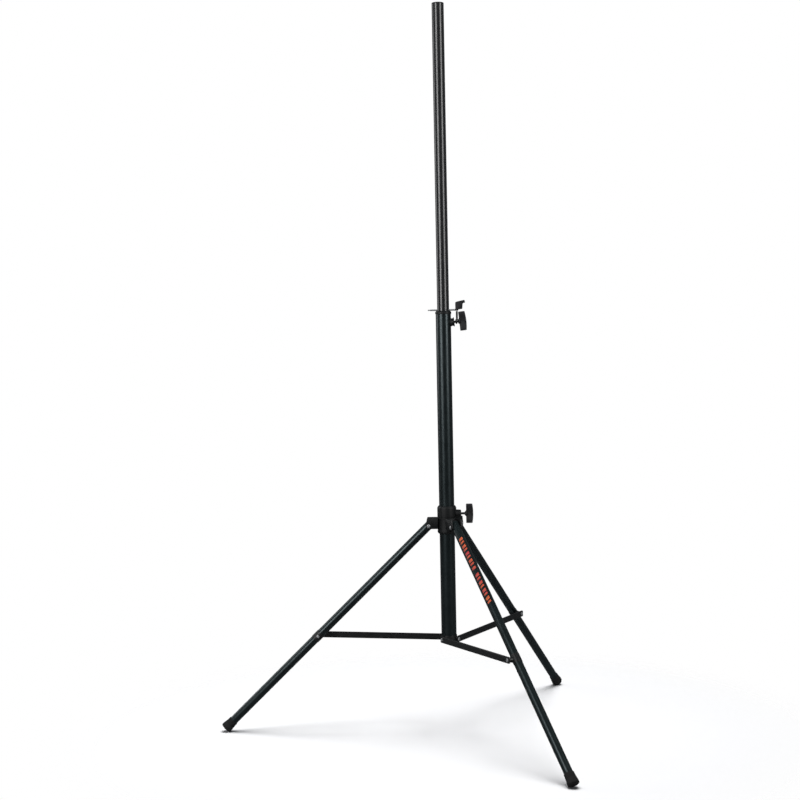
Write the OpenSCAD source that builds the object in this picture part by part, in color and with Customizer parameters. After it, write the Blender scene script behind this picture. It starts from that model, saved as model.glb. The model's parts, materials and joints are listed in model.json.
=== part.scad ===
// Telescopic tripod stand for a loudspeaker: a mast tube with an extending pole, a sliding
// leg hub, three pivoted legs and three braces. Millimetres, +Z up, floor at z = 0, the mast
// on the Z axis and both clamp knobs on the +X side.

/* [Mast] */
// Outside diameter of the mast tube
tube_od = 44.5; // [40:0.5:50]
// Wall thickness of the mast tube
tube_wall = 1.75; // [1.2:0.05:3]
// Height of the mast tube's upper end
tube_top = 1231; // [1100:1:1300]
// Height of the underside of the plug in the mast's lower end
mast_low = 264.7; // [240:0.1:300]
// Thickness of the lower plug's rim
plug_rim = 2.5; // [1.5:0.1:5]

/* [Pole] */
// Outside diameter of the pole, the size that speaker sockets are made for
pole_od = 35; // [34.5:0.1:36]
// Wall thickness of the pole
pole_wall = 2; // [1.2:0.1:3]
// Height of the top of the pole's cap
stand_top = 2128.5; // [1800:0.5:2400]
// Height of the pole's lower end inside the mast
pole_low = 1080; // [1040:1:1150]
// Distance between the locking holes up the pole
hole_pitch = 60; // [60:60:120]
// Number of locking holes
hole_count = 13; // [1:1:13]
// Diameter of a locking hole
hole_d = 6; // [5.4:0.1:8]

/* [Collar and safety pin] */
// Height of the collar above the tube's upper end
collar_h = 9.1; // [5:0.1:14]
// Diameter of the collar's rim
collar_d = 47; // [45:0.5:52]
// Diameter of the safety pin
pin_d = 4.8; // [4:0.1:5.2]
// How far the pin stands out on the side away from its grip
pin_tip = 45; // [30:1:60]

/* [Clamps] */
// Height at which the upper clamp's axis meets the mast's axis
upper_z = 1204.2; // [1195:0.1:1208]
// Rise of the upper clamp's axis away from the mast, in degrees
upper_tilt = 6; // [0:0.5:10]
// Height of the hub clamp's axis
lower_z = 645.8; // [640:0.1:650]
// Diameter of both clamp screws
screw_d = 7.4; // [6:0.2:10]
// Length of a knob's wings from tip to tip
knob_span = 56; // [46:1:58]
// Depth of a knob's wings along its screw
knob_depth = 21; // [14:1:24]
// Thickness of a knob's wings
knob_thick = 16; // [10:1:18]

/* [Leg hub] */
// Outside diameter of the hub's sleeve
hub_od = 56; // [52:0.5:60]
// Height of the hub's lower end
hub_low = 588; // [580:1:595]
// Height of the hub's upper end
hub_high = 669; // [662:1:680]
// Distance of the leg pivots from the mast's axis
pivot_r = 54; // [52:0.5:58]
// Height of the leg pivots with the legs spread
pivot_z = 611; // [608:1:614]
// Clear width between the two ears of a leg pivot
ear_gap = 26; // [25.4:0.1:28]
// Thickness of an ear
ear_t = 5.4; // [4:0.1:6]

/* [Legs] */
// Outside diameter of a leg tube
leg_od = 25; // [22:0.5:25]
// Wall thickness of a leg tube
leg_wall = 1.5; // [1:0.1:2]
// Outward run of a leg for each unit of fall
leg_slope = 1.026; // [0.9:0.001:1.15]
// Distance down a leg from its pivot to its brace joint
joint_s = 466; // [450:1:480]
// Largest diameter of a rubber foot
foot_d = 33; // [30:0.5:38]
// Length of a rubber foot along its leg
foot_len = 33; // [25:1:45]
// Depth of the flat that a foot stands on
foot_flat = 1.2; // [0.5:0.1:2]

/* [Braces] */
// Height of the braces' inner pivots
brace_z = 275.3; // [274:0.1:280]
// Distance of the inner pivots from the mast's axis, along the brace
brace_x = 8; // [0:0.5:10]
// Width of a brace's channel
brace_h = 18.2; // [16:0.2:19]
// Depth of a brace's channel
brace_d = 4.5; // [4:0.1:7]
// Thickness of a brace's steel
brace_t = 1.4; // [1:0.1:2]
// How far a brace reaches past its pivots
brace_end = 8.5; // [6:0.5:12]
// Distance from the mast's axis to a brace's open side
brace_y = 24.5; // [24.3:0.1:25]

/* [Hidden] */
$fn = 64;

LEFT = 180;
FRONT = 300;
BACK = 60;
LEG_AZ = [LEFT, FRONT, BACK];

run = 0.06;                         // radial clearance of a turning or sliding shaft
slip = 0.08;                        // radial clearance of the sliding tubes
tube_r = tube_od / 2;
tube_ri = tube_r - tube_wall;
tube_low = mast_low + plug_rim;
pole_r = pole_od / 2;
pole_ri = pole_r - pole_wall;
cap_h = 3;
rim_z = tube_top + collar_h;
pin_r = pin_d / 2;
pin_z = rim_z + 0.1 + pin_r;        // the pin lies on the collar's rim
screw_r = screw_d / 2;
hub_r = hub_od / 2;
leg_r = leg_od / 2;
leg_a = atan(leg_slope);            // a leg's angle from the vertical
foot_r = foot_d / 2;
foot_z = foot_r * sin(leg_a) - foot_flat;
leg_len = (pivot_z - foot_z) / cos(leg_a);
joint_x = pivot_r + joint_s * sin(leg_a);
joint_z = pivot_z - joint_s * cos(leg_a);
brace_len = norm([joint_x - brace_x, joint_z - brace_z]);
brace_a = atan2(joint_z - brace_z, joint_x - brace_x);
leg_above = 14;                     // tube beyond the pivot
pivot_pin_r = 4;
brace_pin_r = 3;
head_t = 1.5;
ear_r = 8.4;
upper_knob_x = 46.5;                // where each knob's wings start along its screw
lower_knob_x = 56.5;
ear_out = ear_gap / 2 + ear_t;
web_y = brace_y + brace_d;          // outer face of a brace's web

BLACK = [0.03, 0.032, 0.035];
PLASTIC = [0.045, 0.047, 0.05];
RUBBER = [0.025, 0.025, 0.027];
STEEL = [0.72, 0.73, 0.74];
NYLON = [0.85, 0.84, 0.8];

// A round bar or cone along +X
module bar_x(x0, x1, r0, r1) {
    translate([x0, 0, 0]) rotate([0, 90, 0]) cylinder(r1 = r0, r2 = r1, h = x1 - x0);
}

// A round bar or cone along -Y, from y = -y0 outwards to y = -y1
module bar_y(y0, y1, r0, r1) {
    translate([0, -y0, 0]) rotate([90, 0, 0]) cylinder(r1 = r0, r2 = r1, h = y1 - y0);
}

module bar_z(z0, z1, r0, r1) {
    translate([0, 0, z0]) cylinder(r1 = r0, r2 = r1, h = z1 - z0);
}

// A flat bar in the XZ plane from x = -end to len + end, with round corners
module flat_bar(len, h, end, r, y0, y1) {
    for (x = [r - end, len + end - r], z = [r - h, h - r]) translate([x, 0, z])
        bar_y(y0, y1, r, r);
    translate([-end, -y1, r - h]) cube([len + 2 * end, y1 - y0, 2 * (h - r)]);
    translate([r - end, -y1, -h]) cube([len + 2 * (end - r), y1 - y0, 2 * h]);
}

// The frame of a leg pivot: +X away from the mast, Y along the pivot
module at_pivot(az) {
    rotate([0, 0, az]) translate([pivot_r, 0, pivot_z]) children();
}

// The frame of a leg: +Z down the leg from its pivot
module on_leg(az) {
    at_pivot(az) rotate([0, 180 - leg_a, 0]) children();
}

// The seat of a brace's inner rivet on the mast
module at_seat(az) {
    rotate([0, 0, az]) translate([brace_x, 0, brace_z]) children();
}

// The frame of a brace: +X outwards along it from its inner pivot
module on_brace(az) {
    at_seat(az) rotate([0, -brace_a, 0]) children();
}

// The frame of the upper clamp: +X out along its screw, from the mast's axis
module on_clamp() {
    translate([0, 0, upper_z]) rotate([0, -upper_tilt, 0]) children();
}

// The frame of the hub's clamp
module on_hub_clamp() {
    translate([0, 0, lower_z]) children();
}

// ---- mast -------------------------------------------------------------------------------

module outer_tube() color(BLACK) difference() {
    bar_z(tube_low, tube_top, tube_r, tube_r);
    bar_z(tube_low - 1, tube_top + 1, tube_ri, tube_ri);
    on_clamp() bar_x(15, 30, 4.6, 4.6);
    for (az = LEG_AZ) at_seat(az) bar_y(12, 30, brace_pin_r, brace_pin_r);
}

module collar_bush() color(PLASTIC) difference() {
    union() {
        bar_z(tube_top, tube_top + 5, collar_d / 2, collar_d / 2);
        bar_z(tube_top + 5, rim_z, collar_d / 2, collar_d / 2 - 2);
        bar_z(tube_top - 45, tube_top, tube_ri, tube_ri);
    }
    bar_z(tube_top - 50, rim_z + 1, pole_r + slip, pole_r + slip);
    on_clamp() bar_x(10, 30, 4.6, 4.6);
}

// Threaded socket on the mast that the upper clamp screw runs in
module top_clamp_boss() color(BLACK) difference() {
    on_clamp() union() {
        bar_x(15, 24, 12.5, 11.2);
        bar_x(24, 27.5, 11.2, 11.2);
        bar_x(27.5, 30.5, 11.2, 13.5);
        bar_x(30.5, 32, 13.5, 13.5);
    }
    bar_z(upper_z - 40, upper_z + 40, tube_r, tube_r);
    on_clamp() bar_x(10, 40, screw_r + run, screw_r + run);
}

module upper_pad() color(NYLON) on_clamp() bar_x(pole_r + 0.8, 21, 4.4, 4.4);

// Steel band and three bearing bosses for the braces' inner ends
module lower_bracket() color(BLACK) difference() {
    union() {
        bar_z(mast_low + 1, 287, tube_r + 1.5, tube_r + 1.5);
        for (az = LEG_AZ) at_seat(az) bar_y(15, web_y - brace_t - 0.2, 6.4, 6.4);
    }
    bar_z(mast_low, 290, tube_r, tube_r);
    for (az = LEG_AZ) at_seat(az) bar_y(10, 40, brace_pin_r, brace_pin_r);
}

module bottom_plug() color(PLASTIC) difference() {
    union() {
        bar_z(mast_low, tube_low, tube_r, tube_r);
        bar_z(tube_low, tube_low + 4.4, tube_ri, tube_ri);
    }
    bar_z(mast_low + 2, tube_low + 5, tube_ri - 2, tube_ri - 2);
}

// Three rivets through the mast and the bracket, one for each brace
module inner_rivets() color(STEEL) for (az = LEG_AZ) at_seat(az) {
    bar_y(14.6, 16, 4.5, 4.5);
    bar_y(16, web_y + 0.1, brace_pin_r, brace_pin_r);
    bar_y(web_y + 0.1, web_y + 0.7, 5.2, 5.2);
    bar_y(web_y + 0.7, web_y + 0.1 + head_t, 5.2, 3.6);
}

// ---- pole -------------------------------------------------------------------------------

module inner_pole() color(BLACK) difference() {
    bar_z(pole_low, stand_top - cap_h, pole_r, pole_r);
    bar_z(pole_low - 1, stand_top, pole_ri, pole_ri);
    for (i = [0 : hole_count - 1]) translate([0, 0, pin_z + i * hole_pitch])
        bar_x(-25, 25, hole_d / 2, hole_d / 2);
}

module pole_cap() color(PLASTIC) difference() {
    union() {
        bar_z(stand_top - cap_h, stand_top - 1.2, pole_r, pole_r);
        bar_z(stand_top - 1.2, stand_top, pole_r, pole_r - 1.6);
        bar_z(stand_top - 25, stand_top - cap_h, pole_ri, pole_ri);
    }
    bar_z(stand_top - 26, stand_top - 2.6, pole_ri - 2, pole_ri - 2);
}

// Plastic sleeve on the pole's lower end that guides it in the mast
module pole_guide() color(PLASTIC) difference() {
    bar_z(pole_low - 3, pole_low + 28, tube_ri - slip, tube_ri - slip);
    bar_z(pole_low, pole_low + 30, pole_r, pole_r);
    bar_z(pole_low - 5, pole_low + 5, 12, 12);
}

// ---- safety pin -------------------------------------------------------------------------

module pin_rod() color(STEEL) translate([0, 0, pin_z]) {
    bar_x(-pin_tip, 2 - pin_tip, 1.2, pin_r);
    bar_x(2 - pin_tip, 33, pin_r, pin_r);
    bar_x(33, 35.5, 2.9, 2.9);
    bar_x(35.5, 44, pin_r, pin_r);
}

// Moulded lever on the pin's outer end
module pin_grip() color(PLASTIC) difference() {
    translate([0, 6, pin_z]) rotate([90, 0, 0]) linear_extrude(12) polygon([
        [35.5, -2.9], [42.5, -2.9], [44.5, 0.9], [55.8, 2.2], [57.2, 18.5], [64.5, 20.8],
        [62.4, 28.6], [50, 26.2], [37.5, 23.2], [35.5, 21]]);
    translate([0, 0, pin_z]) bar_x(30, 44, pin_r, pin_r);
}

// ---- clamps -----------------------------------------------------------------------------

// A wing knob on a screw along +X. x0 is where its wings start
module wing_knob(x0) {
    half = knob_span / 2 - knob_thick / 2;
    mid = x0 + knob_depth / 2;
    color(PLASTIC) difference() {
        union() {
            bar_x(x0 - 4, x0 + 1, 5, 9.4);
            for (side = [-1, 1]) translate([mid, 0, side * half])
                bar_x(-knob_depth / 2, knob_depth / 2, knob_thick / 2, knob_thick / 2);
            translate([x0, -knob_thick / 2, -half]) cube([knob_depth, knob_thick, 2 * half]);
        }
        bar_x(x0 - 5, mid, screw_r, screw_r);
    }
}

// A clamp screw along +X, from its tip to the middle of its knob
module clamp_screw(tip, x0) color(STEEL) {
    bar_x(tip, tip + 0.9, screw_r - 1, screw_r);
    bar_x(tip + 0.9, x0 + knob_depth / 2, screw_r, screw_r);
}

module upper_knob() on_clamp() wing_knob(upper_knob_x);
module upper_knob_screw() on_clamp() clamp_screw(21.1, upper_knob_x);
module lower_knob() on_hub_clamp() wing_knob(lower_knob_x);
module lower_knob_screw() on_hub_clamp() clamp_screw(26.1, lower_knob_x);

// Strap that keeps the safety pin with the stand: its ring hangs on the upper clamp's screw
module pin_strap() color(RUBBER) difference() {
    union() {
        on_clamp() bar_x(35.5, 40.5, 6.8, 6.8);
        on_clamp() translate([37.2, -3.5, 4.6]) cube([3.3, 7, 8]);
        translate([36.6, -3.5, upper_z + 12.6]) cube([6, 7, pin_z - 3.7 - upper_z - 12.6]);
    }
    on_clamp() bar_x(30, 45, screw_r + 0.35, screw_r + 0.35);
}

// ---- leg hub ----------------------------------------------------------------------------

module ear(side) {
    y1 = side > 0 ? ear_out : -ear_gap / 2;
    translate([0, y1, 0]) rotate([90, 0, 0]) linear_extrude(ear_t)
        polygon([[24, pivot_z - ear_r], [pivot_r, pivot_z - ear_r], [pivot_r + ear_r, pivot_z],
            [pivot_r + 4, pivot_z + 23], [24, pivot_z + 23]]);
    translate([pivot_r, y1, pivot_z]) rotate([90, 0, 0]) cylinder(r = ear_r, h = ear_t);
}

module leg_hub() color(PLASTIC) difference() {
    union() {
        bar_z(hub_low, hub_low + 4, hub_r - 2.5, hub_r);
        bar_z(hub_low + 4, hub_high - 5, hub_r, hub_r);
        bar_z(hub_high - 5, hub_high, hub_r, hub_r - 3);
        for (az = LEG_AZ, side = [-1, 1]) rotate([0, 0, az]) ear(side);
        on_hub_clamp() {
            bar_x(15, 40.5, 12, 11);
            bar_x(40.5, 42, 11, 9.5);
        }
    }
    bar_z(hub_low - 1, hub_high + 1, tube_r + slip, tube_r + slip);
    on_hub_clamp() bar_x(10, 50, screw_r + run, screw_r + run);
    for (az = LEG_AZ) at_pivot(az) bar_y(-30, 30, pivot_pin_r, pivot_pin_r);
}

module lower_pad() color(NYLON) on_hub_clamp() bar_x(tube_r + 0.35, 26, screw_r, screw_r);

// One rivet through the ears of each leg pivot
module pivot_rivets() color(STEEL) for (az = LEG_AZ) at_pivot(az) {
    bar_y(-ear_out - head_t, -ear_out - 0.7, 3.9, 5.5);
    bar_y(-ear_out - 0.7, -ear_out, 5.5, 5.5);
    bar_y(-ear_out, ear_out, pivot_pin_r, pivot_pin_r);
    bar_y(ear_out, ear_out + 0.7, 5.5, 5.5);
    bar_y(ear_out + 0.7, ear_out + head_t, 5.5, 3.9);
}

// ---- legs -------------------------------------------------------------------------------

module leg_tube(az) color(BLACK) difference() {
    on_leg(az) bar_z(-leg_above, leg_len - 5, leg_r, leg_r);
    on_leg(az) bar_z(-leg_above - 1, leg_len, leg_r - leg_wall, leg_r - leg_wall);
    at_pivot(az) bar_y(-20, 20, pivot_pin_r + run, pivot_pin_r + run);
}

module leg_plug(az) color(PLASTIC) difference() {
    on_leg(az) union() {
        bar_z(-leg_above - 2.5, -leg_above - 1.5, leg_r - 1, leg_r);
        bar_z(-leg_above - 1.5, -leg_above, leg_r, leg_r);
        bar_z(-leg_above, 18, leg_r - leg_wall, leg_r - leg_wall);
    }
    at_pivot(az) bar_y(-20, 20, pivot_pin_r + run, pivot_pin_r + run);
}

module foot(az) color(RUBBER) difference() {
    on_leg(az) difference() {
        union() {
            bar_z(leg_len - foot_len, leg_len - foot_len + 2, leg_r + 1.2, leg_r + 2);
            bar_z(leg_len - foot_len + 2, leg_len - 6, leg_r + 2, foot_r);
            bar_z(leg_len - 6, leg_len, foot_r, foot_r);
        }
        bar_z(leg_len - foot_len - 1, leg_len - 5, leg_r, leg_r);
    }
    rotate([0, 0, az]) translate([500, -50, -20]) cube([300, 100, 20]);
}

// Steel band round a leg with the seat of its brace's rivet
module leg_clip(az) color(BLACK) on_leg(az) difference() {
    union() {
        bar_z(joint_s - 13, joint_s + 13, leg_r + 1.5, leg_r + 1.5);
        translate([0, 0, joint_s]) bar_y(5, brace_y - 0.2, 7, 7);
    }
    bar_z(joint_s - 20, joint_s + 20, leg_r, leg_r);
}

module leg_tube_left() leg_tube(LEFT);
module leg_tube_front() leg_tube(FRONT);
module leg_tube_back() leg_tube(BACK);
module leg_plug_left() leg_plug(LEFT);
module leg_plug_front() leg_plug(FRONT);
module leg_plug_back() leg_plug(BACK);
module foot_left() foot(LEFT);
module foot_front() foot(FRONT);
module foot_back() foot(BACK);
module leg_clip_left() leg_clip(LEFT);
module leg_clip_front() leg_clip(FRONT);
module leg_clip_back() leg_clip(BACK);

// ---- braces -----------------------------------------------------------------------------

// Pressed channel, its open side towards the mast and the leg
module brace(az) color(BLACK) on_brace(az) difference() {
    flat_bar(brace_len, brace_h / 2, brace_end, 3.4, brace_y, web_y);
    flat_bar(brace_len, brace_h / 2 - brace_t, brace_end - brace_t, 2, brace_y - 1,
        web_y - brace_t);
    bar_y(brace_y - 2, web_y + 2, brace_pin_r + run, brace_pin_r + run);
    translate([brace_len, 0, 0]) bar_y(brace_y - 2, web_y + 2, brace_pin_r, brace_pin_r);
}

// Rivet and spacer in a brace's outer end, stopping just short of the leg's clip
module outer_rivet(az) color(STEEL) on_brace(az) translate([brace_len, 0, 0]) {
    bar_y(brace_y + 0.1, web_y - brace_t, 6.2, 6.2);
    bar_y(web_y - brace_t, web_y, brace_pin_r, brace_pin_r);
    bar_y(web_y, web_y + 0.6, 5.2, 5.2);
    bar_y(web_y + 0.6, web_y + head_t, 5.2, 3.6);
}

module brace_left() brace(LEFT);
module brace_front() brace(FRONT);
module brace_back() brace(BACK);
module outer_rivet_left() outer_rivet(LEFT);
module outer_rivet_front() outer_rivet(FRONT);
module outer_rivet_back() outer_rivet(BACK);

// -----------------------------------------------------------------------------------------

outer_tube();
collar_bush();
top_clamp_boss();
upper_pad();
pin_strap();
lower_bracket();
bottom_plug();
inner_rivets();
inner_pole();
pole_cap();
pole_guide();
pin_rod();
pin_grip();
upper_knob();
upper_knob_screw();
leg_hub();
lower_pad();
pivot_rivets();
lower_knob();
lower_knob_screw();
leg_tube_left();
leg_tube_front();
leg_tube_back();
leg_plug_left();
leg_plug_front();
leg_plug_back();
foot_left();
foot_front();
foot_back();
leg_clip_left();
leg_clip_front();
leg_clip_back();
brace_left();
brace_front();
brace_back();
outer_rivet_left();
outer_rivet_front();
outer_rivet_back();
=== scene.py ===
import json
import math

import bmesh
import bpy
from mathutils import Matrix, Vector


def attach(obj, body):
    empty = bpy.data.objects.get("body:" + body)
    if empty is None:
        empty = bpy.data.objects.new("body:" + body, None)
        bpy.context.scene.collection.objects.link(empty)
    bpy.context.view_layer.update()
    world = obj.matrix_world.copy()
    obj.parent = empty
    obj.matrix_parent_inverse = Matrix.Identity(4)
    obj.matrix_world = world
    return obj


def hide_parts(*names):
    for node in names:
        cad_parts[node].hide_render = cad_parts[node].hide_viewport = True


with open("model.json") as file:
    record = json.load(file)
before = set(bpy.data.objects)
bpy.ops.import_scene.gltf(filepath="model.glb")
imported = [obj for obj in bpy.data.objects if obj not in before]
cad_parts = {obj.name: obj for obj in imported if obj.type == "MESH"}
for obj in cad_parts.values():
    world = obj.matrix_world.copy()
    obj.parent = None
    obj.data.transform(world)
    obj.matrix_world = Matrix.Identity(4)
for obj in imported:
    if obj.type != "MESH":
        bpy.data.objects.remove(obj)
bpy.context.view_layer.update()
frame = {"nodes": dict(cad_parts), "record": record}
NODES = frame["nodes"]

# ---- sizes, in metres, as the CAD has them ---------------------------------------------------

LEG_AZ = {"left": 180.0, "front": 300.0, "back": 60.0}
LEG_ANGLE = math.atan(1.026)  # from the vertical
PIVOT_R, PIVOT_Z = 0.054, 0.611  # the leg pivots' distance from the mast's axis, and height
LEG_R = 0.0125
FOOT_R = 0.0165
FOOT_FLAT = 0.0012  # how far the floor cuts into a boot's rim
FOOT_LEN = 0.033
LEG_ABOVE = 0.014  # a leg tube's length above its pivot
FOOT_Z = FOOT_R * math.sin(LEG_ANGLE) - FOOT_FLAT
LEG_LEN = (PIVOT_Z - FOOT_Z) / math.cos(LEG_ANGLE)
JOINT_S = 0.466  # from a leg's pivot down to its brace joint
JOINT_X = PIVOT_R + JOINT_S * math.sin(LEG_ANGLE)
JOINT_Z = PIVOT_Z - JOINT_S * math.cos(LEG_ANGLE)
BRACE_X, BRACE_Z = 0.008, 0.2753  # a brace's inner pivot
BRACE_LEN = math.hypot(JOINT_X - BRACE_X, JOINT_Z - BRACE_Z)
BRACE_ANGLE = math.atan2(JOINT_Z - BRACE_Z, JOINT_X - BRACE_X)
BRACE_Y, WEB_Y, BRACE_T = 0.0245, 0.029, 0.0014  # a brace's rim and web beside its leg, its steel
BRACE_H, BRACE_END = 0.0182, 0.0085  # its height, and its length past each pivot
TUBE_R, MAST_BORE, TUBE_TOP, TUBE_LOW = 0.02225, 0.0205, 1.231, 0.2672
MAST_LOW = 0.2647  # the lower plug's end
POLE_R, POLE_BORE, POLE_TOP = 0.0175, 0.0155, 2.1255
STAND_TOP = 2.1285  # the pole cap's top
RIM_Z = 1.2401  # the collar's top, which the pin lies on
COLLAR_R, COLLAR_BORE = 0.0235, 0.01758
PIN_R = 0.0024
PIN_Z = RIM_Z + 0.0001 + PIN_R
HUB_R, HUB_BORE, HUB_LOW, HUB_HIGH = 0.028, TUBE_R + 0.00008, 0.588, 0.669
EAR_IN, EAR_OUT, EAR_R = 0.013, 0.0184, 0.0084  # a pivot ear's faces and its rounded end
EAR_ROOT = 0.0262  # where the ears and the boss grow out of the hub's sleeve
UPPER_Z, UPPER_TILT = 1.2042, math.radians(6)
LOWER_Z = 0.6458
KNOB_SPAN, KNOB_DEPTH, KNOB_THICK = 0.056, 0.021, 0.016
SCREW_R = 0.0037
SCREW_HOLE = SCREW_R + 0.00006
RIVET_HEAD = 0.0015  # how far a rivet's head stands up


# ---- frames ------------------------------------------------------------------------------------


def turn(axis, angle):
    return Matrix.Rotation(angle, 4, axis)


def move(x, y, z):
    return Matrix.Translation((x, y, z))


def at_pivot(az):
    """At a leg's pivot, with +X out from the mast."""
    return turn("Z", math.radians(az)) @ move(PIVOT_R, 0, PIVOT_Z)


def on_leg(az):
    """+Z down the leg from its pivot, -X towards its upper side."""
    return at_pivot(az) @ turn("Y", math.pi - LEG_ANGLE)


def at_seat(az):
    """At a brace's inner pivot, with +X out from the mast."""
    return turn("Z", math.radians(az)) @ move(BRACE_X, 0, BRACE_Z)


def on_brace(az):
    """+X out along the brace from its inner pivot."""
    return at_seat(az) @ turn("Y", -BRACE_ANGLE)


UPPER_CLAMP = move(0, 0, UPPER_Z) @ turn("Y", -UPPER_TILT)
HUB_CLAMP = move(0, 0, LOWER_Z)
ALONG_X = turn("Y", math.pi / 2)  # turns a lathe's +Z to +X
OUT_Y = turn("X", math.pi / 2)  # turns a lathe's +Z to -Y, and a prism's outline upright


# ---- mesh helpers ------------------------------------------------------------------------------


def rounded(points, steps=4, closed=False):
    """Corners (a, b) or (a, b, radius), those with a radius rounded off in steps segments."""
    out = []
    n = len(points)
    for i, p in enumerate(points):
        r = p[2] if len(p) > 2 else 0
        here = Vector(p[:2])
        if not r or (not closed and i in (0, n - 1)):
            out.append(tuple(here))
            continue
        before = Vector(points[i - 1][:2]) - here
        after = Vector(points[(i + 1) % n][:2]) - here
        la, lb = before.length, after.length
        before.normalize()
        after.normalize()
        half = before.angle(after) / 2
        if half > math.pi / 2 - 0.01:
            out.append(tuple(here))
            continue
        cut = min(r / math.tan(half), 0.49 * la, 0.49 * lb)
        a, b = here + before * cut, here + after * cut
        for k in range(steps + 1):
            t = k / steps
            q = a * (1 - t) ** 2 + here * (2 * t * (1 - t)) + b * t**2
            out.append(tuple(q))
    return out


def inset(outline, d):
    """The outline moved inwards by d along each point's mean normal (counter-clockwise points)."""
    out = []
    n = len(outline)
    for k in range(n):
        a, b, c = Vector(outline[k - 1]), Vector(outline[k]), Vector(outline[(k + 1) % n])
        n1, n2 = (b - a).normalized(), (c - b).normalized()
        normal = Vector((-(n1.y + n2.y), n1.x + n2.x)).normalized()
        out.append(tuple(b + normal * d))
    return out


def finish_mesh(name, bm, body, mat, place=None, sharp=32):
    """Links the mesh as a piece, smooth but for edges over sharp degrees, riding on its body."""
    bmesh.ops.remove_doubles(bm, verts=bm.verts, dist=1e-7)
    bmesh.ops.recalc_face_normals(bm, faces=bm.faces)
    mesh = bpy.data.meshes.new(name)
    bm.to_mesh(mesh)
    bm.free()
    if place is not None:
        mesh.transform(place)
    mesh.polygons.foreach_set("use_smooth", [True] * len(mesh.polygons))
    mesh.set_sharp_from_angle(angle=math.radians(sharp))
    mesh.materials.append(mat)
    obj = bpy.data.objects.new(name, mesh)
    bpy.context.scene.collection.objects.link(obj)
    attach(obj, body)
    return obj


def lathe_bm(profile, segs=96, ring=False, place=None):
    """A surface turned round +Z from (z, r) points. ring closes the profile on itself."""
    bm = bmesh.new()
    angles = [2 * math.pi * i / segs for i in range(segs)]
    rows = []
    for z, r in profile:
        if r < 1e-7:
            rows.append([bm.verts.new((0, 0, z))])
        else:
            rows.append([bm.verts.new((r * math.cos(a), r * math.sin(a), z)) for a in angles])
    pairs = list(zip(rows, rows[1:]))
    if ring:
        pairs.append((rows[-1], rows[0]))
    for a, b in pairs:
        for i in range(segs):
            j = (i + 1) % segs
            quad = [a[i % len(a)], a[j % len(a)], b[j % len(b)], b[i % len(b)]]
            seen = []
            for v in quad:
                if v not in seen:
                    seen.append(v)
            if len(seen) > 2:
                bm.faces.new(seen)
    if place is not None:
        bmesh.ops.transform(bm, matrix=place, verts=bm.verts)
    return bm


def lathe(name, profile, body, mat, place=None, segs=96, ring=False):
    pts = rounded(profile, closed=ring)
    return finish_mesh(name, lathe_bm(pts, segs, ring), body, mat, place)


def add_prism(bm, outline, low, high, bevel, segs, place):
    """Adds a closed outline (x, y) extruded along Z from low to high, its rims rounded by bevel."""
    part = bmesh.new()
    base = [part.verts.new((x, y, low)) for x, y in outline]
    face = part.faces.new(base)
    new = bmesh.ops.extrude_face_region(part, geom=[face])["geom"]
    top = [v for v in new if isinstance(v, bmesh.types.BMVert)]
    bmesh.ops.translate(part, vec=(0, 0, high - low), verts=top)
    edges = [e for e in part.edges if abs(e.verts[0].co.z - e.verts[1].co.z) < 1e-9]
    bmesh.ops.bevel(part, geom=edges, offset=bevel, segments=segs, profile=0.5, affect="EDGES")
    bmesh.ops.transform(part, matrix=place, verts=part.verts)
    join(bm, part)


def join(bm, part):
    """Adds part's mesh to bm and frees part."""
    mesh = bpy.data.meshes.new("tmp")
    part.to_mesh(mesh)
    part.free()
    bm.from_mesh(mesh)
    bpy.data.meshes.remove(mesh)


def loft_bm(rings):
    """A closed skin through rings of equally many points, with a flat cap on each end."""
    bm = bmesh.new()
    rows = [[bm.verts.new(p) for p in ring] for ring in rings]
    n = len(rows[0])
    for a, b in zip(rows, rows[1:]):
        for i in range(n):
            bm.faces.new((a[i], a[(i + 1) % n], b[(i + 1) % n], b[i]))
    bm.faces.new(rows[0])
    bm.faces.new(rows[-1])
    return bm


def superellipse(a, b, power, n=40):
    """n points round a closed curve from an ellipse, at power 2, towards a rectangle."""

    def squared(v):
        return math.copysign(abs(v) ** (2 / power), v)

    angles = [2 * math.pi * i / n for i in range(n)]
    return [(a * squared(math.cos(t)), b * squared(math.sin(t))) for t in angles]


# ---- materials ---------------------------------------------------------------------------------


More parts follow.
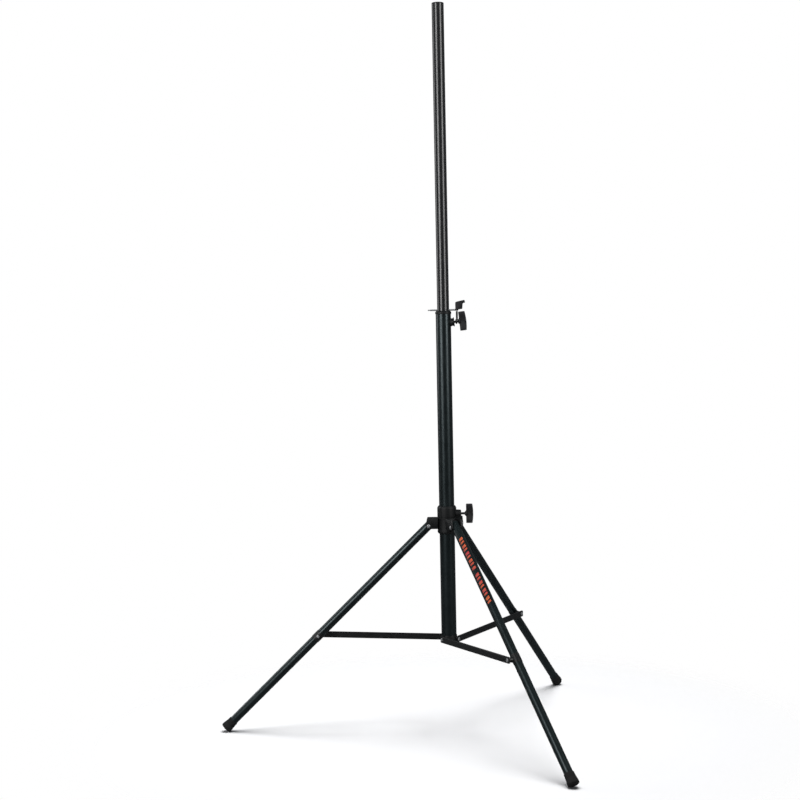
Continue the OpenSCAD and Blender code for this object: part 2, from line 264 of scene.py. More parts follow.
def material(name, base, dark, rough, grain, bump, metal=0.0, coat=0.0, coat_rough=0.12,
             rough_vary=0.05, blotch=9.0, rub=None, spec=0.5, tint=(1, 1, 1)):
    """A Principled material whose colour, roughness and bump come from object-space noise.

    The colour wanders between base and dark in blotches. grain is the scale of the fine bump.
    """
    mat = bpy.data.materials.new(name)
    mat.use_nodes = True
    nt = mat.node_tree
    nodes, links = nt.nodes, nt.links
    bsdf = nodes["Principled BSDF"]
    bsdf.inputs["Metallic"].default_value = metal
    bsdf.inputs["Coat Weight"].default_value = coat
    bsdf.inputs["Coat Roughness"].default_value = coat_rough
    bsdf.inputs["Specular IOR Level"].default_value = spec
    bsdf.inputs["IOR"].default_value = 1.5
    bsdf.inputs["Specular Tint"].default_value = (*tint, 1)
    coord = nodes.new("ShaderNodeTexCoord")
    large = nodes.new("ShaderNodeTexNoise")
    large.inputs["Scale"].default_value = blotch
    large.inputs["Detail"].default_value = 6
    links.new(coord.outputs["Object"], large.inputs["Vector"])
    ramp = nodes.new("ShaderNodeValToRGB")
    ramp.color_ramp.elements[0].position = 0.32
    ramp.color_ramp.elements[0].color = (*dark, 1)
    ramp.color_ramp.elements[1].position = 0.7
    ramp.color_ramp.elements[1].color = (*base, 1)
    links.new(large.outputs["Fac"], ramp.inputs["Fac"])
    colour = ramp.outputs["Color"]
    if rub:  # long faint rub marks along Z: (colour, strength)
        stretch = nodes.new("ShaderNodeMapping")
        stretch.inputs["Scale"].default_value = (170, 170, 5)  # narrow across, long down Z
        links.new(coord.outputs["Object"], stretch.inputs["Vector"])
        marks = nodes.new("ShaderNodeTexNoise")
        marks.inputs["Scale"].default_value = 1.0
        marks.inputs["Detail"].default_value = 3
        links.new(stretch.outputs["Vector"], marks.inputs["Vector"])
        pick = nodes.new("ShaderNodeMapRange")
        pick.inputs["From Min"].default_value = 0.62
        pick.inputs["From Max"].default_value = 0.78
        pick.inputs["To Max"].default_value = rub[1]
        links.new(marks.outputs["Fac"], pick.inputs["Value"])
        mix = nodes.new("ShaderNodeMix")
        mix.data_type = "RGBA"
        mix.inputs["B"].default_value = (*rub[0], 1)
        links.new(pick.outputs["Result"], mix.inputs["Factor"])
        links.new(colour, mix.inputs["A"])
        colour = mix.outputs["Result"]
    links.new(colour, bsdf.inputs["Base Color"])
    fine = nodes.new("ShaderNodeTexNoise")
    fine.inputs["Scale"].default_value = grain
    fine.inputs["Detail"].default_value = 3
    links.new(coord.outputs["Object"], fine.inputs["Vector"])
    mid = nodes.new("ShaderNodeTexNoise")
    mid.inputs["Scale"].default_value = blotch * 4
    mid.inputs["Detail"].default_value = 4
    links.new(coord.outputs["Object"], mid.inputs["Vector"])
    span = nodes.new("ShaderNodeMapRange")
    span.inputs["From Min"].default_value = 0.3
    span.inputs["From Max"].default_value = 0.7
    span.inputs["To Min"].default_value = rough - rough_vary
    span.inputs["To Max"].default_value = rough + rough_vary
    links.new(mid.outputs["Fac"], span.inputs["Value"])
    links.new(span.outputs["Result"], bsdf.inputs["Roughness"])
    relief = nodes.new("ShaderNodeBump")
    relief.inputs["Strength"].default_value = bump
    relief.inputs["Distance"].default_value = 0.0004
    links.new(fine.outputs["Fac"], relief.inputs["Height"])
    links.new(relief.outputs["Normal"], bsdf.inputs["Normal"])
    return mat


# satin black powder coat on the mast and legs
PAINT = material("tube_paint", (0.0072, 0.0112, 0.0112), (0.0047, 0.0075, 0.0077), 0.33, grain=900,
                 bump=0.012, coat=0.2, coat_rough=0.2, tint=(0.76, 0.95, 1.0),
                 rub=((0.015, 0.016, 0.017), 0.3))
# the pole's coat is polished by sliding in the collar; its base colour, lighter than the mast's, is painted
# light that makes up for the weaker light on the upper part
POLE = material("pole_paint_lit", (0.0190, 0.0194, 0.0205), (0.0125, 0.0130, 0.0138), 0.27, grain=900,
                bump=0.006, coat=0.45, coat_rough=0.16, rub=((0.022, 0.022, 0.023), 0.5))
# the same coat on pressed steel, a little flatter
PRESSED = material("pressed_paint", (0.0085, 0.0098, 0.0104), (0.0056, 0.0066, 0.0070), 0.42, grain=600,
                   bump=0.12, coat=0.1, coat_rough=0.3)
# moulded nylon hub and collar: spark-eroded texture
HUB = material("hub_plastic", (0.0080, 0.0092, 0.0098), (0.0056, 0.0064, 0.0070), 0.5, grain=1500,
               bump=0.18, rough_vary=0.04, spec=0.4)
CAP = material("cap_plastic", (0.0085, 0.0090, 0.0096), (0.0056, 0.0060, 0.0066), 0.48, grain=1300,
               bump=0.18, rough_vary=0.04)
KNOB = material("knob_plastic", (0.0380, 0.0385, 0.0410), (0.0270, 0.0275, 0.0300), 0.56, grain=1700,
                bump=0.22, rough_vary=0.05, spec=0.3)
RUBBER = material("foot_rubber", (0.0125, 0.0125, 0.0130), (0.0075, 0.0075, 0.0080), 0.7, grain=900,
                  bump=0.25, blotch=60, spec=0.35)
STEEL = material("zinc_steel", (0.60, 0.61, 0.62), (0.44, 0.445, 0.455), 0.38, metal=0.6, grain=2200,
                 bump=0.08, blotch=220)
DARK_STEEL = material("black_steel", (0.030, 0.030, 0.033), (0.018, 0.018, 0.02), 0.38, grain=1800,
                      bump=0.1, blotch=160)
NYLON = material("nylon", (0.78, 0.77, 0.72), (0.68, 0.67, 0.62), 0.45, grain=900, bump=0.1,
                 blotch=80)
BY_SLOT = {"tube_paint": PAINT, "pressed_paint": PRESSED, "hub_plastic": HUB, "cap_plastic": CAP,
           "knob_plastic": KNOB, "foot_rubber": RUBBER, "zinc_steel": STEEL, "black_steel": DARK_STEEL,
           "nylon": NYLON}
SLOT_OF = {s["node"]: s["material_slot"] for s in frame["record"]["subparts"]}

for node_name, node in NODES.items():
    node.data.materials.clear()
    node.data.materials.append(POLE if node_name == "inner_pole" else BY_SLOT[SLOT_OF[node_name]])


# ---- mast and pole -----------------------------------------------------------------------------

BUSH_LOW = TUBE_TOP - 0.045  # the bush's lower end, inside the mast
collar = lathe("collar_cap", [
    (BUSH_LOW, COLLAR_BORE, 0.0003), (BUSH_LOW, MAST_BORE, 0.0005), (TUBE_TOP, MAST_BORE),
    (TUBE_TOP, COLLAR_R, 0.0009), (TUBE_TOP + 0.0052, COLLAR_R, 0.0016),
    (RIM_Z, COLLAR_R - 0.0026, 0.0012), (RIM_Z, COLLAR_BORE, 0.0008)],
    "mast", HUB, ring=True, segs=128)
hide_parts("collar_bush")

SKIRT_LOW = STAND_TOP - 0.025  # the cap's lower end, inside the pole
DISH_Z = STAND_TOP - 0.0006  # the shallow dish in its top
cap = lathe("pole_end_cap", [
    (SKIRT_LOW, 0), (SKIRT_LOW, POLE_BORE, 0.0006), (POLE_TOP, POLE_BORE), (POLE_TOP, POLE_R, 0.0003),
    (STAND_TOP - 0.0012, POLE_R, 0.0012), (STAND_TOP, POLE_R - 0.0022, 0.0012),
    (STAND_TOP, 0.006, 0.0003), (DISH_Z, 0.0052, 0.0003), (DISH_Z, 0)],
    "pole", CAP, segs=128)
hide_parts("pole_cap")

PLUG_R = TUBE_R - 0.0002
RECESS_Z = MAST_LOW + 0.0012  # the recess in the plug's lower face
PLUG_HIGH = TUBE_LOW + 0.0044
plug = lathe("mast_end_plug", [
    (RECESS_Z, 0), (RECESS_Z, 0.0125, 0.0005), (MAST_LOW, 0.0138, 0.0008),
    (MAST_LOW, PLUG_R, 0.0009), (TUBE_LOW, PLUG_R, 0.0003), (TUBE_LOW, MAST_BORE),
    (PLUG_HIGH, MAST_BORE, 0.0006), (PLUG_HIGH, 0)],
    "mast", CAP, segs=128)
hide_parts("bottom_plug")


# ---- upper clamp boss --------------------------------------------------------------------------


def saddle(bm, radius, x_min):
    """Ends a lathe along +X on the side of a tube round Z: points nearer than x_min move to it."""
    sink = 0.0001
    for v in bm.verts:
        if v.co.x < x_min:
            y = min(abs(v.co.y), radius * 0.98)
            v.co.x = math.sqrt(radius * radius - y * y) - sink


upper_boss = lathe_bm(rounded([
    (0.0208, SCREW_R + 0.0001), (0.0208, 0.0128, 0.001), (0.0222, 0.0122, 0.002),
    (0.0262, 0.0109, 0.004), (0.0282, 0.0112, 0.002), (0.0305, 0.0134, 0.0012),
    (0.032, 0.0134, 0.0008), (0.032, 0.0066, 0.0004), (0.0312, 0.0058, 0.0004),
    (0.0312, SCREW_HOLE, 0.0003)], closed=True), ring=True, place=ALONG_X)
saddle(upper_boss, TUBE_R, 0.0215)
boss_piece = finish_mesh("clamp_boss", upper_boss, "mast", PRESSED, UPPER_CLAMP)
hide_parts("top_clamp_boss")


# ---- the pin's strap ---------------------------------------------------------------------------


def strap():
    """A rubber strap: a ring on the clamp's screw and a tongue that rises to the safety pin."""
    eye, near, far = SCREW_R + 0.00035, 0.0355, 0.0405
    bm = lathe_bm(rounded([
        (near, eye, 0.0006), (near, 0.0068, 0.0014), (far, 0.0068, 0.0014), (far, eye, 0.0006)],
        closed=True), 64, ring=True, place=UPPER_CLAMP @ ALONG_X)
    rings = []
    top, low = PIN_Z - 0.0037, UPPER_Z + 0.0082
    steps = 14
    for k in range(steps + 1):
        t = k / steps
        z = low + (top - low) * t
        # the tongue widens over its first 16% and rounds off over its last 10%
        grow = math.sin(min(t, 0.16) / 0.16 * math.pi / 2)
        end = math.sqrt(max(0.0, 1 - max(0.0, (t - 0.9) / 0.1) ** 2))
        wide = (0.0047 + 0.0011 * grow) * (0.8 + 0.2 * end)
        half_thick = 0.0034 * (0.7 + 0.3 * end)
        x = 0.03885 + 0.0008 * grow
        rings.append([(x + a, b, z) for a, b in superellipse(wide / 2, half_thick, 3.8, 32)])
    join(bm, loft_bm(rings))
    return bm


strap_piece = finish_mesh("pin_strap_moulding", strap(), "mast", CAP, sharp=40)
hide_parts("pin_strap")


# ---- lower bracket -----------------------------------------------------------------------------

BAND_LOW, BAND_HIGH, BAND_R = MAST_LOW + 0.001, 0.287, TUBE_R + 0.0015
SEAT_END = WEB_Y - BRACE_T - 0.0002  # just clear of the brace's web
bracket = lathe_bm(rounded([
    (BAND_LOW, TUBE_R, 0.0003), (BAND_LOW, BAND_R, 0.0006), (BAND_HIGH, BAND_R, 0.0006),
    (BAND_HIGH, TUBE_R, 0.0003)], 3, closed=True), 128, ring=True)
for az in LEG_AZ.values():
    seat = lathe_bm(rounded([
        (0.0195, 0), (0.0195, 0.0075, 0.001), (0.0225, 0.0068, 0.001), (SEAT_END, 0.0064, 0.0006),
        (SEAT_END, 0)], 3), 48, place=at_seat(az) @ OUT_Y)
    join(bracket, seat)
bracket_piece = finish_mesh("brace_bracket", bracket, "mast", PRESSED)
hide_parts("lower_bracket")


# ---- rivets ------------------------------------------------------------------------------------


def rivet_bm(segs, place, low, head, shank_r, head_r, dome, low_head=None):
    """A rivet along +Z: from low (with its own head where low_head is given) up to a domed head."""
    land = 0.0004  # the straight edge of a head, below its dome
    pts = [(low, 0)]
    if low_head:
        pts += [(low, low_head * 0.55, 0.0004), (low + dome, low_head, 0.0004),
                (low + dome + land, low_head, 0.0002), (low + dome + land, shank_r)]
    else:
        pts += [(low, shank_r, 0.0002)]
    pts += [(head, shank_r), (head, head_r, 0.0002), (head + land, head_r, 0.0003)]
    for k in range(1, 5):
        a = k / 5 * math.pi / 2
        pts.append((head + land + (dome - land) * math.sin(a), head_r * math.cos(a) ** 0.8))
    pts.append((head + dome, 0))
    return lathe_bm(rounded(pts, 2), segs, place=place)


pivots = bmesh.new()
for az in LEG_AZ.values():
    join(pivots, rivet_bm(48, at_pivot(az) @ OUT_Y, -EAR_OUT - RIVET_HEAD, EAR_OUT, 0.004, 0.0054,
                          RIVET_HEAD, low_head=0.0054))
pivot_piece = finish_mesh("leg_rivets", pivots, "hub", STEEL)
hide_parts("pivot_rivets")

inner = bmesh.new()
for az in LEG_AZ.values():
    join(inner, rivet_bm(40, at_seat(az) @ OUT_Y, 0.0146, WEB_Y + 0.0001, 0.003, 0.005, RIVET_HEAD))
inner_piece = finish_mesh("brace_rivets", inner, "mast", STEEL)
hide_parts("inner_rivets")

for side, az in LEG_AZ.items():
    outer_end = on_brace(az) @ move(BRACE_LEN, 0, 0) @ OUT_Y
    outer = rivet_bm(40, outer_end, WEB_Y - BRACE_T, WEB_Y, 0.003, 0.005, RIVET_HEAD)
    spacer = lathe_bm(rounded([
        (BRACE_Y + 0.0001, 0), (BRACE_Y + 0.0001, 0.0062, 0.0005), (WEB_Y - BRACE_T, 0.0062, 0.0004),
        (WEB_Y - BRACE_T, 0)], 3), 40, place=outer_end)
    piece = finish_mesh("rivet_" + side, outer, "brace_" + side, STEEL)
    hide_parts("outer_rivet_" + side)
    finish_mesh("spacer_" + side, spacer, "brace_" + side, DARK_STEEL)


# ---- braces ------------------------------------------------------------------------------------


def rect(x0, x1, h, r):
    """A rectangle from x0 to x1, h to each side of the X axis, with rounded corners."""
    return rounded([(x0, -h, r), (x1, -h, r), (x1, h, r), (x0, h, r)], 5, closed=True)


def channel_bm(place):
    """A pressed tray: web outside, rim towards the leg, with bent corners."""
    x0, x1, h = -BRACE_END, BRACE_LEN + BRACE_END, BRACE_H / 2
    t = BRACE_T
    rings = []

    def ring(margin, depth, r):
        rings.append([(x, y, depth) for x, y in rect(x0 + margin, x1 - margin, h - margin, r)])

    # down the outer skin from the web, over the rim and back up the inner skin
    ring(0.0011, WEB_Y, 0.0024)
    ring(0.0005, WEB_Y - 0.0002, 0.0029)
    ring(0.0001, WEB_Y - 0.0006, 0.0033)
    ring(0.0, WEB_Y - 0.0012, 0.0034)
    ring(0.0, BRACE_Y + 0.0002, 0.0034)
    ring(0.0002, BRACE_Y, 0.0032)
    ring(t - 0.0002, BRACE_Y, 0.0022)
    ring(t, BRACE_Y + 0.0002, 0.002)
    ring(t, WEB_Y - t - 0.0005, 0.002)
    ring(t + 0.0005, WEB_Y - t, 0.0016)
    part = loft_bm(rings)
    bmesh.ops.transform(part, matrix=place, verts=part.verts)
    return part


for side, az in LEG_AZ.items():
    channel = channel_bm(on_brace(az) @ OUT_Y)
    piece = finish_mesh("channel_" + side, channel, "brace_" + side, PRESSED)
    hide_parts("brace_" + side)


# ---- leg hub -----------------------------------------------------------------------------------


def ear_outline():
    """A pivot ear from the side: square on the sleeve, round under the pivot, sloping in to its top."""
    top = PIVOT_Z + 0.023
    pts = [(EAR_ROOT, top, 0.0005), (EAR_ROOT, PIVOT_Z - EAR_R, 0.0005),
           (PIVOT_R - 0.001, PIVOT_Z - EAR_R)]
    for k in range(1, 12):
        a = -math.pi / 2 + k / 12 * (math.pi / 2 + 0.1)
        pts.append((PIVOT_R + EAR_R * math.cos(a), PIVOT_Z + EAR_R * math.sin(a)))
    pts += [(PIVOT_R + 0.0042, top, 0.0016)]
    return rounded(pts, closed=True)


GROOVE_LOW, GROOVE_HIGH, GROOVE_R = 0.598, 0.637, HUB_R - 0.0005  # the sunk band behind the ears
hub = lathe_bm(rounded([
    (HUB_LOW, HUB_BORE, 0.0005), (HUB_LOW, HUB_R - 0.0026, 0.0008), (HUB_LOW + 0.0042, HUB_R, 0.0012),
    (GROOVE_LOW, HUB_R, 0.0003), (GROOVE_LOW + 0.0005, GROOVE_R, 0.0003),
    (GROOVE_HIGH - 0.0005, GROOVE_R, 0.0003), (GROOVE_HIGH, HUB_R, 0.0003),
    (HUB_HIGH - 0.0052, HUB_R, 0.0014), (HUB_HIGH, HUB_R - 0.003, 0.0009),
    (HUB_HIGH, HUB_BORE, 0.0005)], closed=True), 128, ring=True)
for az in LEG_AZ.values():
    upright = turn("Z", math.radians(az)) @ OUT_Y
    for low, high in ((-EAR_OUT, -EAR_IN), (EAR_IN, EAR_OUT)):
        add_prism(hub, ear_outline(), low, high, 0.0008, 3, upright)
    # web that ties the two ears together against the sleeve
    web_out, web_low, web_high = 0.0312, PIVOT_Z - 0.008, PIVOT_Z + 0.0225
    web = rounded([(EAR_ROOT, web_high, 0.0004), (EAR_ROOT, web_low, 0.0004),
                   (web_out, web_low, 0.002), (web_out, web_high, 0.002)], 3, closed=True)
    add_prism(hub, web, -EAR_IN - 0.001, EAR_IN + 0.001, 0.0005, 2, upright)
hub_boss = lathe_bm(rounded([
    (EAR_ROOT, SCREW_R + 0.0001), (EAR_ROOT, 0.0124, 0.0005), (0.0285, 0.0118, 0.001),
    (0.0396, 0.0111, 0.0005), (0.042, 0.0096, 0.0016), (0.042, 0.0062, 0.0004),
    (0.0412, 0.0056, 0.0003), (0.0412, SCREW_HOLE, 0.0003)],
    closed=True), 80, ring=True, place=HUB_CLAMP @ ALONG_X)
join(hub, hub_boss)
hub_piece = finish_mesh("hub_moulding", hub, "hub", HUB)
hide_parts("leg_hub")


# ---- knobs and screws --------------------------------------------------------------------------


def wing_thick(u):
    """Half the thickness of a wing at u, from 0 at the screw to 1 at the tip."""
    return KNOB_THICK / 2 * (0.64 + 0.36 * min(1.0, u / 0.7) ** 1.5)


def wing_bm(x0):
    """Two wings in one moulded bar along Z: a waist at the screw, fuller tips, a bulged outer face."""
    half = KNOB_SPAN / 2
    x_mid = x0 + KNOB_DEPTH / 2
    rings = []
    side = [0, 0.12, 0.26, 0.4, 0.54, 0.68, 0.8, 0.88, 0.93, 0.96, 0.98, 0.992, 1]
    for s in [-u for u in side[:0:-1]] + side:
        u = abs(s)
        end = math.sqrt(max(0.0, 1 - max(0.0, (u - 0.93) / 0.07) ** 2))  # rounds off the tip
        bulge = 0.12 * u**2
        deep = KNOB_DEPTH / 2 * (1 - bulge) * (0.86 + 0.14 * end)
        thick = wing_thick(u) * (0.7 + 0.3 * end)
        rings.append([(x_mid - KNOB_DEPTH / 2 * bulge + x, y, s * half)
                      for x, y in superellipse(deep, thick, 4.6)])
    return loft_bm(rings)


def add_neck(bm, x0):
    """The round neck between the wings and the boss."""
    join(bm, lathe_bm(rounded([
        (x0 - 0.004, 0), (x0 - 0.004, 0.0048, 0.0006), (x0 - 0.0028, 0.0062, 0.001),
        (x0 + 0.0004, 0.0092, 0.002), (x0 + 0.003, 0.0092), (x0 + 0.003, 0)]), 64, place=ALONG_X))


def add_face(bm, x1):
    """The raised round of the insert on the outer face, with a dished middle."""
    join(bm, lathe_bm(rounded([
        (x1 - 0.004, 0), (x1 - 0.004, 0.0068), (x1 - 0.0004, 0.0068, 0.0008),
        (x1 - 0.0002, 0.0052, 0.0006), (x1 - 0.0014, 0.0042, 0.0006), (x1 - 0.0014, 0)]),
        64, place=ALONG_X))


def add_bead(bm, x, side):
    """A moulded bead along one cheek of the wings, on the side of +Y or -Y."""
    half = KNOB_SPAN / 2
    steps, segs = 24, 8
    around = [2 * math.pi * n / segs for n in range(segs)]
    rows = []
    for k in range(steps + 1):
        z = (-0.84 + 1.68 * k / steps) * half
        y = wing_thick(abs(z) / half) - 0.00035
        rows.append([(x + 0.0009 * math.cos(a), side * (y + 0.0007 * math.sin(a)), z) for a in around])
    join(bm, loft_bm(rows))


def screw_bm(tip, x0):
    """The clamp screw, with a rolled thread between its tip and the knob's neck."""
    pitch, root = 0.00125, SCREW_R - 0.0006
    pts = [(tip, 0), (tip, SCREW_R - 0.0012, 0.0003), (tip + 0.001, root)]
    z = tip + 0.0015
    while z < x0 - 0.005:
        pts += [(z, root), (z + 0.35 * pitch, SCREW_R), (z + 0.5 * pitch, SCREW_R), (z + 0.85 * pitch, root)]
        z += pitch
    pts += [(x0 + 0.002, root), (x0 + 0.002, 0)]
    return lathe_bm(rounded(pts, 2), 48, place=ALONG_X)


def knob(node, name, clamp, x0, tip):
    """A wing knob whose wings start x0 out from the mast's axis, on a screw that reaches in to tip."""
    bm = wing_bm(x0)
    add_neck(bm, x0)
    add_face(bm, x0 + KNOB_DEPTH)
    for side in (-1, 1):
        add_bead(bm, x0 + 0.0076, side)
    piece = finish_mesh(name, bm, node, KNOB, clamp, sharp=40)
    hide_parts(node)
    screw = finish_mesh(name + "_screw", screw_bm(tip, x0), node, DARK_STEEL, clamp, sharp=30)
    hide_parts(node + "_screw")


knob("upper_knob", "upper_wing_knob", UPPER_CLAMP, 0.0465, 0.0211)
knob("lower_knob", "lower_wing_knob", HUB_CLAMP, 0.0565, 0.0261)


# ---- safety pin --------------------------------------------------------------------------------

SHOULDER_R = 0.0029
rod = lathe("lock_pin", [
    # the nose, with a groove behind its ball
    (-0.045, 0), (-0.045, 0.0008, 0.0003), (-0.0442, 0.0018, 0.0008), (-0.0405, 0.0018, 0.0006),
    (-0.0398, 0.0015, 0.0003), (-0.0388, 0.0015, 0.0003), (-0.0378, PIN_R, 0.0006),
    # the shoulder and the end inside the grip
    (0.033, PIN_R), (0.033, SHOULDER_R, 0.0004), (0.0355, SHOULDER_R, 0.0004), (0.0355, PIN_R),
    (0.044, PIN_R, 0.0003), (0.044, 0)],
    "safety_pin", STEEL, move(0, 0, PIN_Z) @ ALONG_X, segs=48)
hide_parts("pin_rod")

# the lever from the side, in X outwards and Z up from the pin's axis
grip_outline = rounded([
    (0.0355, -0.0029, 0.0012), (0.0425, -0.0029, 0.0012), (0.0445, 0.0009, 0.003), (0.0558, 0.0022, 0.0024),
    (0.0572, 0.0185, 0.003), (0.0645, 0.0208, 0.0016), (0.0624, 0.0286, 0.0022), (0.05, 0.0262, 0.006),
    (0.0375, 0.0232, 0.0024), (0.0355, 0.021, 0.0016)], 5, closed=True)

EDGE = ((0.006, 0.0011), (0.0058, 0.0006), (0.0054, 0.0002), (0.0049, 0.0))  # half thickness, inset
grip_rings = []
for y, d in [(-y, d) for y, d in EDGE] + list(EDGE[::-1]):
    grip_rings.append([(a, b, y) for a, b in inset(grip_outline, d)])
grip = loft_bm(grip_rings)
grip_piece = finish_mesh("pin_lever", grip, "safety_pin", KNOB, move(0, 0, PIN_Z) @ OUT_Y)
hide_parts("pin_grip")


# ---- legs --------------------------------------------------------------------------------------


def foot_bm():
    """A rubber boot: rolled lip, ribs, a flared skirt and a treaded end, cut flat on the floor."""
    top = LEG_LEN - FOOT_LEN
    pts = [(top, LEG_R + 0.00002, 0.0002), (top, LEG_R + 0.0012, 0.0006),
           (top + 0.0022, LEG_R + 0.002, 0.0008), (top + 0.0042, LEG_R + 0.0016, 0.0006)]
    rib = 0.0042  # spacing of the ribs
    for k in range(3):
        s = top + 0.0062 + rib * k
        r = LEG_R + 0.0016 + (FOOT_R - LEG_R - 0.0022) * (rib * (k + 1)) / (FOOT_LEN - 0.008)
        pts += [(s, r, 0.0004), (s + 0.0006, r - 0.0006, 0.0003), (s + 0.0014, r - 0.0006, 0.0003),
                (s + 0.002, r + 0.0001, 0.0004)]
    pts += [(LEG_LEN - 0.0085, FOOT_R - 0.0002, 0.001), (LEG_LEN - 0.0012, FOOT_R, 0.0006),
            (LEG_LEN, FOOT_R - 0.0006, 0.0005)]
    groove_z = LEG_LEN - 0.0008
    for wide, narrow in ((0.0128, 0.0108), (0.0078, 0.0058)):
        pts += [(LEG_LEN, wide, 0.0002), (groove_z, wide - 0.0004, 0.0002),
                (groove_z, narrow + 0.0004, 0.0002), (LEG_LEN, narrow, 0.0002)]
    pts += [(LEG_LEN, 0.003, 0.0002), (groove_z, 0.0026, 0.0002), (groove_z, 0.0)]
    return lathe_bm(rounded(pts, 2))


for side, az in LEG_AZ.items():
    place = on_leg(az)
    foot = foot_bm()
    bmesh.ops.transform(foot, matrix=place, verts=foot.verts)
    for v in foot.verts:
        v.co.z = max(v.co.z, 0.0)  # cut flat on the floor
    # close the boot where it grips the tube
    rim = [e for e in foot.edges if e.is_boundary]
    bmesh.ops.holes_fill(foot, edges=rim, sides=0)
    piece = finish_mesh("boot_" + side, foot, "leg_" + side, RUBBER, sharp=40)
    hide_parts("foot_" + side)

    plug_top = -LEG_ABOVE - 0.0025
    plug_piece = lathe("leg_cap_" + side, [
        (plug_top, 0), (plug_top, LEG_R - 0.0016, 0.0012), (plug_top + 0.0013, LEG_R, 0.0009),
        (-LEG_ABOVE, LEG_R, 0.0002), (-LEG_ABOVE, 0.011), (0.018, 0.011, 0.0006), (0.018, 0)],
        "leg_" + side, CAP, place, segs=64)
    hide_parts("leg_plug_" + side)

    # pressed band with a rolled edge, and the seat of the brace's rivet
    at_joint = place @ move(0, 0, JOINT_S)
    band = lathe_bm(rounded([
        (-0.013, LEG_R, 0.0001), (-0.013, LEG_R + 0.0006, 0.0003), (-0.012, LEG_R + 0.0009, 0.0003),
        (0.012, LEG_R + 0.0009, 0.0003), (0.013, LEG_R + 0.0006, 0.0003), (0.013, LEG_R, 0.0001)],
        3, closed=True), ring=True, place=at_joint)
    seat = lathe_bm(rounded([
        (0.0118, 0), (0.0118, 0.0092, 0.0008), (0.0148, 0.0078, 0.002),
        (BRACE_Y - 0.0002, 0.007, 0.0006), (BRACE_Y - 0.0002, 0)]), 48, place=at_joint @ OUT_Y)
    join(band, seat)
    # the far end of the rivet that holds the band on the leg
    head = rivet_bm(40, at_joint @ turn("X", -math.pi / 2), LEG_R - 0.001, LEG_R + 0.0002,
                    0.003, 0.0044, 0.0013)
    finish_mesh("band_rivet_" + side, head, "leg_" + side, STEEL)
    clip = finish_mesh("band_" + side, band, "leg_" + side, PRESSED)
    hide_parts("leg_clip_" + side)


# ---- printed stripes on the front leg ----------------------------------------------------------

PRINT = material("stripe_print", (0.72, 0.155, 0.032), (0.52, 0.036, 0.065), 0.42, grain=900, bump=0.06,
                 coat=0.2, blotch=34)

PRINT_THICK = 0.00012
STRIPE_FACE = math.radians(221)  # where round the leg the print faces
STRIPE_HALF = 0.48  # half of the angle that a stripe covers
STRIPE_SLANT = 0.005  # how far one end of a stripe is down the leg from the other
STRIPE_GROUPS = ((0.047, 0.165, 9), (0.177, 0.286, 8))  # start and end down the leg, number of stripes
STRIPE_FILL = (0.66, 0.44)  # a stripe's share of its pitch, for wide and narrow ones in turn


def add_stripe(bm, start, end):
    """Adds a thin slanted patch round the leg, as a closed skin, from start to end down it."""
    steps = 10
    low, top = [], []
    for i in range(steps + 1):
        a = STRIPE_FACE + STRIPE_HALF * (2 * i / steps - 1)
        shift = STRIPE_SLANT * (i / steps - 0.5)
        for r, row in ((LEG_R, low), (LEG_R + PRINT_THICK, top)):
            x, y = r * math.cos(a), r * math.sin(a)
            row.append([bm.verts.new((x, y, start + shift)), bm.verts.new((x, y, end + shift))])
    for i in range(steps):
        bm.faces.new((top[i][0], top[i + 1][0], top[i + 1][1], top[i][1]))
        bm.faces.new((low[i][0], low[i][1], low[i + 1][1], low[i + 1][0]))
        bm.faces.new((top[i][0], low[i][0], low[i + 1][0], top[i + 1][0]))
        bm.faces.new((top[i][1], top[i + 1][1], low[i + 1][1], low[i][1]))
    for i in (0, steps):
        bm.faces.new((top[i][0], top[i][1], low[i][1], low[i][0]))


stripes = bmesh.new()
for first, last, count in STRIPE_GROUPS:
    pitch = (last - first) / count
    for k in range(count):
        start = first + k * pitch
        add_stripe(stripes, start, start + pitch * STRIPE_FILL[k % 2])
finish_mesh("leg_stripes", stripes, "leg_front", PRINT, on_leg(LEG_AZ["front"]))


# ---- stage, light and camera -------------------------------------------------------------------

FLOOR_KEEP, FLOOR_GONE = 0.74, 1.2  # the floor fades out between these distances from the mast
SIDE_REACH = 3.4  # from the mast to each upright light


def floor():
    """A pale floor that catches the shadows and fades into the white backdrop."""
    bm = bmesh.new()
    bmesh.ops.create_grid(bm, x_segments=1, y_segments=1, size=9)
    mesh = bpy.data.meshes.new("floor")
    bm.to_mesh(mesh)
    bm.free()
    obj = bpy.data.objects.new("floor", mesh)
    obj.location.z = -0.0002
    bpy.context.scene.collection.objects.link(obj)
    mat = bpy.data.materials.new("floor")
    mat.use_nodes = True
    nt = mat.node_tree
    bsdf = nt.nodes["Principled BSDF"]
    bsdf.inputs["Base Color"].default_value = (0.86, 0.86, 0.87, 1)
    bsdf.inputs["Roughness"].default_value = 0.75
    bsdf.inputs["Specular IOR Level"].default_value = 0.2
    clear = nt.nodes.new("ShaderNodeBsdfTransparent")
    coord = nt.nodes.new("ShaderNodeTexCoord")
    length = nt.nodes.new("ShaderNodeVectorMath")
    length.operation = "LENGTH"
    fade = nt.nodes.new("ShaderNodeMapRange")
    fade.interpolation_type = "SMOOTHSTEP"
    fade.inputs["From Min"].default_value = FLOOR_KEEP
    fade.inputs["From Max"].default_value = FLOOR_GONE
    mix = nt.nodes.new("ShaderNodeMixShader")
    nt.links.new(coord.outputs["Object"], length.inputs[0])
    nt.links.new(length.outputs["Value"], fade.inputs["Value"])
    nt.links.new(fade.outputs["Result"], mix.inputs["Fac"])
    nt.links.new(bsdf.outputs["BSDF"], mix.inputs[1])
    nt.links.new(clear.outputs["BSDF"], mix.inputs[2])
    nt.links.new(mix.outputs["Shader"], nt.nodes["Material Output"].inputs["Surface"])
    mesh.materials.append(mat)
    obj.visible_glossy = False


floor()

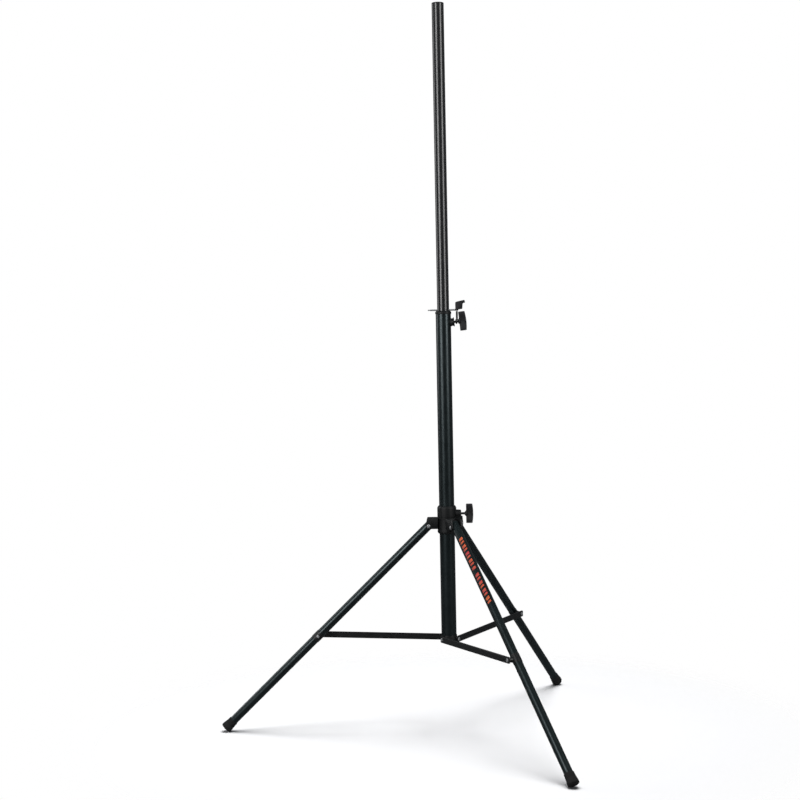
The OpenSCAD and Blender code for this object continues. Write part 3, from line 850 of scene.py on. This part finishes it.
# a white backdrop for the camera, and a dim cool fill for everything else
world = bpy.data.worlds.new("studio")
bpy.context.scene.world = world
world.use_nodes = True
wn = world.node_tree
lit = wn.nodes["Background"]
lit.inputs["Color"].default_value = (0.9, 0.95, 1.0, 1)
lit.inputs["Strength"].default_value = 0.11
seen = wn.nodes.new("ShaderNodeBackground")
seen.inputs["Color"].default_value = (1, 1, 1, 1)
seen.inputs["Strength"].default_value = 1.0
path = wn.nodes.new("ShaderNodeLightPath")
choose = wn.nodes.new("ShaderNodeMixShader")
wn.links.new(path.outputs["Is Camera Ray"], choose.inputs["Fac"])
wn.links.new(lit.outputs["Background"], choose.inputs[1])
wn.links.new(seen.outputs["Background"], choose.inputs[2])
wn.links.new(choose.outputs["Shader"], wn.nodes["World Output"].inputs["Surface"])

# the camera stands 4.7 m off at 1.25 m height
CAM = Vector((0.1565, -4.7333, 1.2475))
YAW, PITCH, ROLL = math.radians(3.479), math.radians(-3.206), math.radians(-1.133)


def area(name, azimuth, distance, height, size, power, aim):
    """An area light. azimuth is counted from the camera's side of the object, + to its right."""
    a = YAW - math.pi / 2 + math.radians(azimuth)
    light = bpy.data.lights.new(name, "AREA")
    light.shape = "RECTANGLE"
    light.size, light.size_y = size
    light.energy = power
    obj = bpy.data.objects.new(name, light)
    obj.location = (distance * math.cos(a), distance * math.sin(a), height)
    direction = Vector(aim) - obj.location
    obj.rotation_euler = direction.to_track_quat("-Z", "Y").to_euler()
    bpy.context.scene.collection.objects.link(obj)
    return obj


key = area("key", 0, 0.0, 4.3, (2.6, 2.6), 230, aim=(0, 0, 0))  # overhead, for the floor's shadows
key.visible_glossy = False
left_light = area("left", -39, SIDE_REACH, 2.12, (1.35, 2.6), 66, aim=(0, 0, 2.12))
right_light = area("right", 49, SIDE_REACH, 2.2, (1.25, 2.6), 54, aim=(0, 0, 2.2))
for light in (left_light, right_light):  # they only draw the long highlights, so the shadows stay clear
    light.visible_diffuse = False
area("rim", -112, SIDE_REACH, 1.85, (1.6, 2.0), 20, aim=(0, 0, 1.85))

cam_data = bpy.data.cameras.new("camera")
cam_data.sensor_width = 36
cam_data.lens = 72.937
camera = bpy.data.objects.new("camera", cam_data)
bpy.context.scene.collection.objects.link(camera)
flat = math.cos(PITCH)
forward = Vector((-math.sin(YAW) * flat, math.cos(YAW) * flat, math.sin(PITCH)))
level_right = Vector((math.cos(YAW), math.sin(YAW), 0))
level_up = level_right.cross(forward)
right = math.cos(ROLL) * level_right + math.sin(ROLL) * level_up
up = -math.sin(ROLL) * level_right + math.cos(ROLL) * level_up
camera.matrix_world = Matrix((
    (right.x, up.x, -forward.x, CAM.x), (right.y, up.y, -forward.y, CAM.y),
    (right.z, up.z, -forward.z, CAM.z), (0, 0, 0, 1)))
bpy.context.scene.camera = camera
bpy.context.scene.view_settings.view_transform = "Standard"
